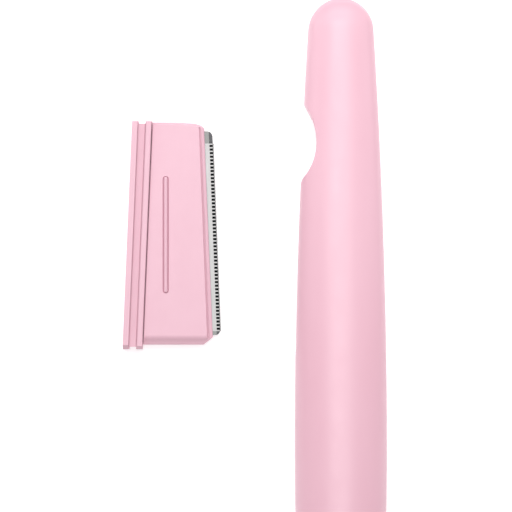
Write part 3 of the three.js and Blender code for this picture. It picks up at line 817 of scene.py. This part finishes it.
def grip_grooves():
    """Seven shallow grooves with round ends and a round floor, as one cutter."""
    long, half, y = GROOVE_HALF_LENGTH, GROOVE_HALF_WIDTH, GROOVE_FIRST
    groove = block("grooves", (-long, y - half, -1), (long, y + half, GROOVE_DEPTH))
    round_edges(groove, half * 0.95, 6, upright)
    round_edges(groove, 0.25, 4, lambda e: all(v.co.z > 0 for v in e.verts), 40)
    return repeated(groove, GROOVE_COUNT, (0, -GROOVE_PITCH, 0))


def repeated(piece, count, step):
    """The piece and its copies, each a step on from the last, as one mesh."""
    only(piece)
    modifier = piece.modifiers.new("row", "ARRAY")
    modifier.count = count
    modifier.use_relative_offset = False
    modifier.use_constant_offset = True
    modifier.constant_offset_displace = step
    bpy.ops.object.modifier_apply(modifier=modifier.name)
    return piece


def bay_guide():
    """The plate in the bay's roof, with a seat for the leaf and room over it to flex."""
    low, high = box_mm("bay_guide")
    leaf_low, leaf_high = box_mm("detent_spring")
    piece = block("bay_guide_moulding", low, high)
    round_edges(piece, 0.5, 4, upright)
    round_edges(piece, 0.12, 2)
    left, right, end = leaf_low.x - SEAT_SIDE, leaf_high.x + SEAT_SIDE, leaf_high.y + SEAT_END
    seat = (leaf_low.y - SEAT_SIDE, LEAF_TOP + FIT)
    room = (PIVOT_Y + CLAMP_LENGTH, LEAF_TOP - LEAF_THICK + LEAF_FLEX)
    for start, top in (seat, room):
        boolean(piece, block("leaf_room", (left, start, low.z - 1), (right, end, top)))
    drill(piece, SMALL_SCREWS[2:], low.z - 1, high.z + 1, SMALL_SHANK + FIT, 16)
    for spot in SMALL_SCREWS[:2]:
        drill(piece, [spot], low.z - 1, low.z + GUIDE_WELL, SMALL_HEAD + FIT, 32)
        drill(piece, [spot], low.z - 1, high.z + 1, SMALL_SHANK + FIT, 16)
    # Two shallow pockets keep the walls even where nothing is fixed.
    for y0, y1 in POCKETS:
        pocket = block("pocket", (POCKET_LEFT, y0, low.z - 1), (POCKET_RIGHT, y1, low.z + POCKET_DEPTH))
        round_edges(pocket, 0.4, 3, upright)
        boolean(piece, pocket)
    round_edges(piece, 0.06, 2, lambda e: level(e, low.z))
    return finished(piece, GUIDE_WHITE, "handle", "bay_guide")


def detent_leaf():
    """A thin leaf with a pressed rib near its free end."""
    low, high = box_mm("detent_spring")
    x = centre("detent_spring")[0]
    piece = block("detent_leaf", (low.x, low.y, LEAF_TOP - LEAF_THICK), (high.x, high.y, LEAF_TOP))
    round_edges(piece, 0.6, 5, lambda e: upright(e, 0.1))
    y0, y1 = NIB_Y - NIB_LENGTH / 2, NIB_Y + NIB_LENGTH / 2
    rib = block("rib", (x - NIB, y0, low.z), (x + NIB, y1, LEAF_TOP - 0.1))
    round_edges(rib, 0.42, 6, lambda e: middle(e).z < LEAF_TOP - 0.2)
    boolean(piece, rib, "UNION")
    inset = DENT_INSET
    dent = block(
        "dent",
        (x - NIB + inset, y0 + inset, low.z + DENT_FLOOR),
        (x + NIB - inset, y1 - inset, LEAF_TOP + 1),
    )
    round_edges(dent, 0.2, 4, lambda e: middle(e).z < LEAF_TOP)
    boolean(piece, dent)
    drill(piece, SMALL_SCREWS[2:], 0, FAR, SMALL_SHANK + FIT)
    round_edges(piece, 0.04, 2)
    return finished(piece, SPRING_STEEL, "detent", "detent_spring")


def weight_bar():
    """A steel bar with two chamfered edges and a centre mark in each end."""
    low, high = box_mm("weight_bar")
    piece = block("weight_bar_blank", low, high)
    round_edges(piece, 1.2, 1, lambda e: all(v.co.z > high.z - 0.01 for v in e.verts) and long_edge(e))
    round_edges(piece, 0.15, 2)
    for y, end in ((low.y, -1), (high.y, 1)):
        boolean(piece, cone((0, y, (low.z + high.z) / 2), 0.7, 0.7, end))
    return finished(piece, BAR_STEEL, "handle", "weight_bar")


def long_edge(edge):
    return abs(edge.verts[0].co.y - edge.verts[1].co.y) > 10


def cone(place, radius, depth, end):
    """A cone along Y that stands in an end face and narrows into the piece."""
    clear()
    x, y, z = place
    bpy.ops.mesh.primitive_cone_add(
        vertices=24, radius1=radius, radius2=0, depth=depth, rotation=(end * math.pi / 2, 0, 0)
    )
    bpy.ops.object.transform_apply(location=False, rotation=True, scale=False)
    piece = named("centre_mark")
    edit(piece)
    select_all()
    bpy.ops.transform.translate(value=(x, y - end * (depth / 2 - 0.01), z))
    outward()
    return piece


def weight_pad(name):
    """A rubber pad with five grooves in one face."""
    low, high = box_mm(name)
    piece = block(name + "_rubber", low, high)
    round_edges(piece, 0.25, 4)
    left = low.x + PAD_RIB
    groove = block("grooves", (left, low.y - 1, low.z - 1), (left + 0.4, low.y + 0.3, high.z + 1))
    boolean(piece, repeated(groove, 5, (PAD_RIB_PITCH, 0, 0)))
    return finished(piece, PAD_RUBBER, "handle", name)


def turned(name, node, top, sides):
    """A cylinder primitive as wide as the CAD node, from its foot up to top."""
    low, high = box_mm(node)
    return disc(name, *centre(node), low.z, top, (high.x - low.x) / 2, sides)


def head_dowel():
    piece = turned("head_dowel_pin", "head_dowel", box_mm("head_dowel")[1].z, 40)
    round_edges(piece, 0.18, 3)
    return finished(piece, SCREW_STEEL, "handle", "head_dowel")


def shell_screw(name):
    """A screw with a flat head, a hexagon in it and a cut thread."""
    low, high = box_mm(name)
    head_top = low.z + SCREW_HEAD
    piece = turned(name + "_turned", name, head_top, 48)
    round_edges(piece, 0.18, 3, lambda e: e.verts[0].co.z < low.z + 0.01)
    boolean(piece, disc("shank", *centre(name), head_top - 0.2, high.z, SHELL_SHANK, 32), "UNION")
    round_edges(piece, 0.25, 2, lambda e: level(e, high.z, 0.01))
    drill(piece, [centre(name)], low.z - 1, low.z + HEXAGON_DEPTH, HEXAGON, 6)
    thread = ring_cutter(*centre(name), head_top + 0.5, SHELL_SHANK, THREAD_DEPTH, THREAD_PITCH / 2)
    boolean(piece, repeated(thread, THREAD_TURNS, (0, 0, THREAD_PITCH)))
    return finished(piece, SCREW_STEEL, "handle", name)


def ring_cutter(x, y, z, radius, depth, half):
    """A ring whose section is a wedge that points inwards, for one turn of a thread."""
    tip, foot = x + radius - depth, x + radius + 0.2
    piece = traced("thread", [(tip, y, z), (foot, y, z - half), (foot, y, z + half)])
    bpy.ops.mesh.spin(steps=32, angle=2 * math.pi, center=(x, y, z), axis=(0, 0, 1))
    select_all()
    bpy.ops.mesh.remove_doubles(threshold=0.0005)
    pick(piece, "FACE", lambda f: len(f.verts) == 3)
    bpy.ops.mesh.delete(type="ONLY_FACE")
    outward()
    return piece


def small_screw(name):
    """A screw with a low round-edged head and a cross in it."""
    low, high = box_mm(name)
    x, y = centre(name)
    head_top = low.z + SMALL_SCREW_HEAD
    piece = turned(name + "_turned", name, head_top, 40)
    round_edges(piece, 0.16, 4, lambda e: e.verts[0].co.z < low.z + 0.01)
    boolean(piece, disc("shank", x, y, head_top - 0.1, high.z, SMALL_SHANK, 24), "UNION")
    long, short = CROSS_ARM, CROSS_HALF
    cross = [(long, short), (short, short), (short, long)]
    cross += [(-a, b) for a, b in reversed(cross)]
    cross += [(-a, -b) for a, b in cross]
    boolean(piece, plate("recess", [(x + a, y + b) for a, b in cross], low.z - 1, low.z + CROSS_DEPTH))
    return finished(piece, SCREW_STEEL, "handle", name)


def screw_plug(name):
    """A soft cap with a slot to lift it by."""
    low, high = box_mm(name)
    x, y = centre(name)
    piece = turned(name + "_cap", name, high.z, 56)
    round_edges(piece, 0.08, 2)
    long, half = PLUG_SLOT, PLUG_SLOT_HALF
    slot = block("slot", (x - long, y - half, low.z - 1), (x + long, y + half, low.z + half))
    round_edges(slot, half * 0.95, 4, upright)
    boolean(piece, slot)
    return finished(piece, PLUG_RUBBER, "handle", name)


# ---- cartridge ----


def leaning(offsets, y, line):
    """A section's points at y, from their distances to a leaning line and their heights."""
    return [(line(y, offset), y, z) for offset, z in offsets]


def pulled_to(name, offsets, low, high, line):
    """A section traced at one y and pulled to the other along a leaning line."""
    piece = traced(name, leaning(offsets, low, line))
    pull(line(high) - line(low), high - low, 0)
    outward()
    return piece


def spine_rail():
    """Two raised ribs with a channel between them, and fine grooves at the ribs' feet."""
    outer, inner, floor = SPINE_HIGH.z, INNER_RIB_TOP, CHANNEL_FLOOR
    a, b, width = OUTER_RIB, OUTER_RIB + CHANNEL, SPINE_WIDTH
    profile = [
        (0, 0),
        (width, 0),
        (width, inner),
        (b, inner),
        (b, floor - FOOT_DEPTH),
        (b - FOOT_WIDTH, floor - FOOT_DEPTH),
        (b - FOOT_WIDTH, floor),
        (a + FOOT_WIDTH, floor),
        (a + FOOT_WIDTH, floor - FOOT_DEPTH),
        (a, floor - FOOT_DEPTH),
        (a, outer),
        (0, outer),
    ]
    low, high = SPINE_LOW.y, SPINE_HIGH.y
    piece = pulled_to("spine_moulding", profile, low, high, spine_x)
    # The ribs are cut on a slant at the lower end, and rounded at the upper one.
    edit(piece)
    select_all()
    bpy.ops.mesh.bisect(
        plane_co=(0, low + SLANT, outer), plane_no=(0, -SLANT_DROP, SLANT), use_fill=True, clear_outer=True
    )
    object_mode()
    round_edges(piece, 0.1, 3, lambda e: on_slant(e, low, outer))
    round_edges(piece, 0.25, 4, lambda e: rib_end(e, high))
    round_edges(piece, 0.26, 5, lambda e: long_edge(e) and middle(e).z > floor + 0.1)
    round_edges(piece, 0.2, 3, lambda e: long_edge(e) and middle(e).z < 0.1)
    for y0, y1 in ((high - WEB_SETBACK, high + 1), (low - 1, low + WEB_SETBACK)):
        boolean(piece, strip("web_end", a + WEB_INSET, b - WEB_INSET, y0, y1, -1, 6))
    boolean(piece, tongue(FIT))
    return finished(piece, CARTRIDGE_PINK, "cartridge", "spine_rail")


def on_slant(edge, low, outer):
    """True for the edges round the slanted end of the ribs."""
    return all(
        abs((v.co.y - low - SLANT) * SLANT_DROP - (v.co.z - outer) * SLANT) < 0.02 for v in edge.verts
    )


def rib_end(edge, y):
    """True for the top edges of the ribs' ends at y."""
    at_end = all(abs(v.co.y - y) < 0.01 and v.co.z > CHANNEL_FLOOR + 0.1 for v in edge.verts)
    return at_end and not upright(edge, 0.01)


def strip(name, x0, x1, y0, y1, z0, z1):
    """A block between two lines that lean as the spine does."""
    corners = ((y0, x0), (y0, x1), (y1, x1), (y1, x0))
    return plate(name, [(spine_x(y, x), y) for y, x in corners], z0, z1)


def tongue(grow):
    """The carrier's tongue, or the slot for it when grow is its clearance."""
    y0, y1 = CARRIER_LOW.y + TONGUE_END - grow, CARRIER_HIGH.y - TONGUE_END + grow
    x0, x1 = SPINE_WIDTH - TONGUE_DEPTH - grow, SPINE_WIDTH + 1
    return strip("tongue", x0, x1, y0, y1, TONGUE_LOW - grow, TONGUE_HIGH + grow)


def body_outline(top, bottom, side, gap=SPINE_GAP, corner=1):
    """The cartridge body's outline, inside the steel. Its top edge falls away towards the blade."""
    y1, y0 = CARRIER_HIGH.y - top, CARRIER_LOW.y + bottom
    inner = SPINE_WIDTH + gap
    right = -GUARD_REACH - side
    return [
        (spine_x(y0, inner), y0),
        (edge_x(y0, right - CORNER_BOTTOM[0] * corner), y0),
        (edge_x(y0, right), y0 + CORNER_BOTTOM[1] * corner),
        (edge_x(y1, right), y1 - CORNER_TOP * (0.5 + 0.5 * corner)),
        (edge_x(y1, right - CORNER_TOP * 0.62 * corner), y1 - CORNER_TOP * 0.5),
        (edge_x(y1, right - CORNER_TOP * 1.7), y1 - CORNER_TOP * 0.2),
        (edge_x(y1, right - CORNER_TOP * 5), y1),
        (spine_x(y1, inner), y1),
    ]


def guard_room(low, high):
    """Room for the guard's folded edges in the carrier and the cover."""
    inner = -GUARD_REACH - GUARD_HIDDEN - GUARD_ROOM
    y0, y1 = GUARD_LOW.y - 2 * GUARD_ROOM, GUARD_HIGH.y + 2 * GUARD_ROOM
    corners = ((y0, inner), (y0, 3), (y1, 3), (y1, inner))
    return plate("guard_room", [(edge_x(y, x), y) for y, x in corners], low, high)


def carrier():
    """The rear plate, with a tongue into the spine, posts for the blade and rebates for the bay's ledges."""
    outline = body_outline(0, 0, 0, CARRIER_GAP)
    piece = plate("carrier_moulding", outline, 0, BLADE_LOW.z - BLADE_GAP)
    round_edges(piece, 0.12, 2, lambda e: level(e, 0, 0.01))
    boolean(piece, tongue(0), "UNION")
    y1, y0 = CARRIER_HIGH.y, CARRIER_LOW.y
    boolean(piece, block("rebate", (-60, y1 - REBATE_DEPTH, -1), (0, y1 + 5, REBATE_HEIGHT)))
    boolean(piece, block("rebate", (-60, y0 - 5, -1), (0, y0 + REBATE_DEPTH, REBATE_HEIGHT)))
    boolean(piece, guard_room(GUARD_LOW.z - GUARD_ROOM, 3))
    # A long shallow recess in the back, with a rib across its middle, keeps the wall even.
    for low, high in RECESSES:
        outline = [(spine_x(low, RECESS_SIDE), low), (edge_x(low, -RECESS_RIGHT), low)]
        outline += [(edge_x(high, -RECESS_RIGHT), high), (spine_x(high, RECESS_SIDE), high)]
        recess = plate("recess", outline, -1, RECESS_DEPTH)
        round_edges(recess, 0.7, 4, upright)
        boolean(piece, recess)
    for x, y in BLADE_HOLES:
        post = disc("post", x, y, 0.6, CARRIER_HIGH.z, BLADE_HOLE - FIT, 32)
        round_edges(post, 0.15, 2, lambda e: level(e, CARRIER_HIGH.z))
        boolean(piece, post, "UNION")
    return finished(piece, CARTRIDGE_PINK, "cartridge", "carrier")


def raise_outline(piece, start, end, low, high):
    """The top face is pulled up from low to high and each of its corners moved from start to end."""
    pick(piece, "FACE", lambda f: all(abs(v.co.z - low) < 0.001 for v in f.verts) and f.normal.z > 0.9)
    pull(0, 0, high - low)
    for (x0, y0), (x1, y1) in zip(start, end):
        place = Vector((x0, y0, high))
        pick(piece, "VERT", lambda v: (v.co - place).length < 0.001)
        bpy.ops.transform.translate(value=(x1 - x0, y1 - y0, 0))


def cover_plate():
    """The front plate: a flat face with a bead, and a bevel in two steps down to its sides."""
    low_z, lip_z = FACE_Z - BEVEL_HEIGHT, FACE_Z - BEVEL_HEIGHT * 0.72
    foot = body_outline(0, 0, 0)
    lip = body_outline(BEVEL_TOP * 0.7, BEVEL_BOTTOM * 0.45, BEVEL_SIDE * 0.62, SPINE_GAP, 0.5)
    face = body_outline(BEVEL_TOP, BEVEL_BOTTOM * 0.9, BEVEL_SIDE, SPINE_GAP, 0.15)
    face_low = min(y for _, y in face)
    piece = plate("cover_moulding", foot, BLADE_HIGH.z + BLADE_GAP, low_z)
    edit(piece)
    raise_outline(piece, foot, lip, low_z, lip_z)
    raise_outline(piece, lip, face, lip_z, FACE_Z)
    object_mode()
    round_edges(piece, 0.42, 8, lambda e: level(e, FACE_Z) and middle(e).y < face_low + 0.4, 12)
    round_edges(piece, 0.13, 4, lambda e: level(e, FACE_Z), 12)
    round_edges(piece, 0.2, 4, lambda e: level(e, low_z), 12)
    boolean(piece, guard_room(0, GUARD_HIGH.z + GUARD_ROOM))
    boolean(piece, fold_groove())
    boolean(piece, bead_groove())
    boolean(piece, bead(), "UNION")
    drill(piece, BLADE_HOLES, 0, CARRIER_HIGH.z + FIT, BLADE_HOLE, 32)
    return finished(piece, CARTRIDGE_PINK, "cartridge", "cover_plate")


def fold_groove():
    """A fine groove along the fold between the face and its bevel by the blade."""
    low, high = CARRIER_LOW.y + BEVEL_BOTTOM * 0.8, CARRIER_HIGH.y - CORNER_TOP * 0.9
    x, top, floor = -GUARD_REACH - BEVEL_SIDE, FACE_Z + 0.05, FACE_Z - FOLD_DEPTH
    section = [(x - 0.14, top), (x - 0.1, floor), (x + 0.12, floor), (x + 0.14, top)]
    return pulled_to("fold_groove", section, low, high, edge_x)


def rounded_bar(name, x, y0, y1, z, half, rise):
    """A bar along Y with round ends and a round back, as wide as two halves."""
    clear()
    bpy.ops.mesh.primitive_cylinder_add(
        vertices=32, radius=half, depth=y1 - y0, location=(x, 0, 0), rotation=(math.pi / 2, 0, 0)
    )
    bpy.ops.object.transform_apply(location=True, rotation=True, scale=False)
    piece = named(name)
    round_edges(piece, half * 0.96, 8, lambda e: abs(e.verts[0].co.y - e.verts[1].co.y) < 0.01)
    edit(piece)
    select_all()
    bpy.ops.transform.resize(value=(1, 1, rise / half), center_override=(0, 0, 0))
    bpy.ops.transform.translate(value=(0, (y0 + y1) / 2, z))
    object_mode()
    return piece


def bead():
    """The bead, with its lower half drawn down past the groove so it stands on the plate."""
    half = BEAD_HALF - BEAD_INSET
    piece = rounded_bar("bead", BEAD_X, BEAD_LOW, BEAD_HIGH, FACE_Z, half, BEAD_RISE)
    edit(piece)
    pick(piece, "VERT", lambda v: v.co.z < FACE_Z - 0.01)
    bpy.ops.transform.translate(value=(0, 0, -BEAD_ROOT))
    object_mode()
    return piece


def bead_groove():
    """A fine groove round the bead's foot. Its widest line is kept just above the face."""
    low, high, half = BEAD_LOW - GROOVE_END, BEAD_HIGH + GROOVE_END, BEAD_HALF + GROOVE_OUT
    return rounded_bar("bead_groove", BEAD_X, low, high, FACE_Z + GROOVE_LIFT, half, GROOVE_RISE)


def blade_strip():
    """A flat strip with rounded outer corners, ground to a wedge along its edge."""
    low, high = BLADE_LOW, BLADE_HIGH
    outline = [(low.x, low.y), (low.x, high.y)]
    steps = 8
    turns = [i / steps * math.pi / 2 for i in range(steps + 1)]
    corners = [(high.y, -BLADE_CORNER, a) for a in turns] + [(low.y, BLADE_CORNER, a) for a in turns[::-1]]
    for end, corner, a in corners:
        y = end + corner * (1 - math.cos(a))
        outline.append((edge_x(y, -BLADE_SETBACK - BLADE_CORNER * (1 - math.sin(a))), y))
    piece = plate("blade_strip", outline, low.z, high.z)
    # The ground edge: a wedge is taken off the top and off the underside.
    for z, up in ((high.z, 1), (low.z, -1)):
        boolean(piece, grinding_wheel(z, up))
    drill(piece, BLADE_HOLES, 0, 4, BLADE_HOLE, 32)
    edit(piece)
    # The faces are split where the painted shade under the guard starts and ends, and along its inner line.
    for y in (GUARD_LOW.y - 0.02, GUARD_HIGH.y + 0.02):
        select_all()
        bpy.ops.mesh.bisect(plane_co=(0, y, 0), plane_no=(0, 1, 0))
    select_all()
    bpy.ops.mesh.bisect(plane_co=(edge_x(low.y, -SHADE_STRIP_WIDTH), low.y, 0), plane_no=(1, EDGE_LEAN, 0))
    object_mode()
    finished(piece, BLADE_STEEL, "cartridge", "blade", angle=3)
    paint(piece, EDGE_STEEL, ground_edge)
    # Painted shade: the edge strip under the guard is painted near-black for the guard's shadow.
    paint(piece, PAINTED_SHADE_BLACK, guard_shade_strip)
    return piece


def grinding_wheel(z, up):
    """A wedge that lies along the blade's edge, over it or under it."""
    half = (BLADE_HIGH.z - BLADE_LOW.z) / 2
    low, high = BLADE_LOW.y - 1, BLADE_HIGH.y + 1
    section = [(-BLADE_SETBACK - BLADE_BEVEL, z), (1, z - up * half * 1.7 / BLADE_BEVEL), (1, z + up)]
    return pulled_to("grinding_wheel", section, low, high, edge_x)


def ground_edge(point, normal):
    """True on the blade's ground faces."""
    return point.x > edge_x(point.y, -BLADE_SETBACK - BLADE_BEVEL - 0.01) and abs(normal.z) < 0.999


def guard_shade_strip(point, normal):
    """True on the strip along the blade's edge that is painted black as the guard's shade; it ends where the
    guard ends.
    """
    return point.x > edge_x(point.y, -SHADE_STRIP_WIDTH) and GUARD_LOW.y - 0.01 < point.y < GUARD_HIGH.y + 0.01


def paint(piece, material, test):
    """Gives a material to the faces whose middle, in millimetres, and normal pass the test."""
    only(piece)
    piece.data.materials.append(material)
    bpy.ops.object.mode_set(mode="EDIT")
    pick(piece, "FACE", lambda f: test(middle(f) / MM, f.normal))
    piece.active_material_index = len(piece.data.materials) - 1
    bpy.ops.object.material_slot_assign()
    object_mode()


def guard_foil():
    """A thin strip folded round the blade's edge, with a row of windows along the fold."""
    low, high = GUARD_LOW, GUARD_HIGH
    inner = -GUARD_REACH - GUARD_HIDDEN
    radius, middle_z = (high.z - low.z) / 2, (high.z + low.z) / 2
    small = radius - GUARD_SHEET
    steps = 8
    turns = [math.pi / 2 - math.pi * i / steps for i in range(steps + 1)]
    outside = [(NOSE - radius + radius * math.cos(a), middle_z + radius * math.sin(a)) for a in turns]
    inside = [(NOSE - radius + small * math.cos(a), middle_z + small * math.sin(a)) for a in turns]
    section = [(inner, high.z)] + outside + [(inner, low.z), (inner, low.z + GUARD_SHEET)] + inside[::-1]
    section.append((inner, high.z - GUARD_SHEET))
    piece = pulled_to("guard_foil", section, low.y, high.y, edge_x)
    pitch = (high.y - low.y) / (WINDOWS + 1 - WINDOW_SHARE)
    y = high.y - pitch * (1 - WINDOW_SHARE / 2)
    half = WINDOW_WIDTH / 2
    window = block(
        "windows",
        (edge_x(y, NOSE - WINDOW_DEPTH), y - half, middle_z),
        (edge_x(y, NOSE - WINDOW_INSET), y + half, high.z + 1),
    )
    round_edges(window, 0.08, 3, upright)
    boolean(piece, repeated(window, WINDOWS, (edge_x(y - pitch) - edge_x(y), -pitch, 0)))
    finished(piece, GUARD_STEEL, "cartridge", "guard")
    # Painted shade: the fold's inner face is painted near-black, standing in for the shadow seen through the
    # windows.
    paint(piece, PAINTED_SHADE_BLACK, lambda p, n: inside_fold(p, n, middle_z, small))
    return piece


def inside_fold(point, normal, height, radius):
    """True on the inner face of the guard's fold, which is painted near-black as shade."""
    centre_x = edge_x(point.y, NOSE) - radius - GUARD_SHEET
    return (
        point.x > centre_x - 0.6
        and math.hypot(max(point.x - centre_x, 0), point.z - height) < radius + 0.02
        and abs(normal.y) < 0.5
    )


front_shell()
head_back()
grip_back()
bay_guide()
detent_leaf()
weight_bar()
for name in ("weight_pad_upper", "weight_pad_lower"):
    weight_pad(name)
head_dowel()
for name in SHELL_SCREW_NAMES:
    shell_screw(name)
    screw_plug(name + "_plug")
for name in SMALL_SCREW_NAMES:
    small_screw(name)
spine_rail()
carrier()
cover_plate()
blade_strip()
guard_foil()
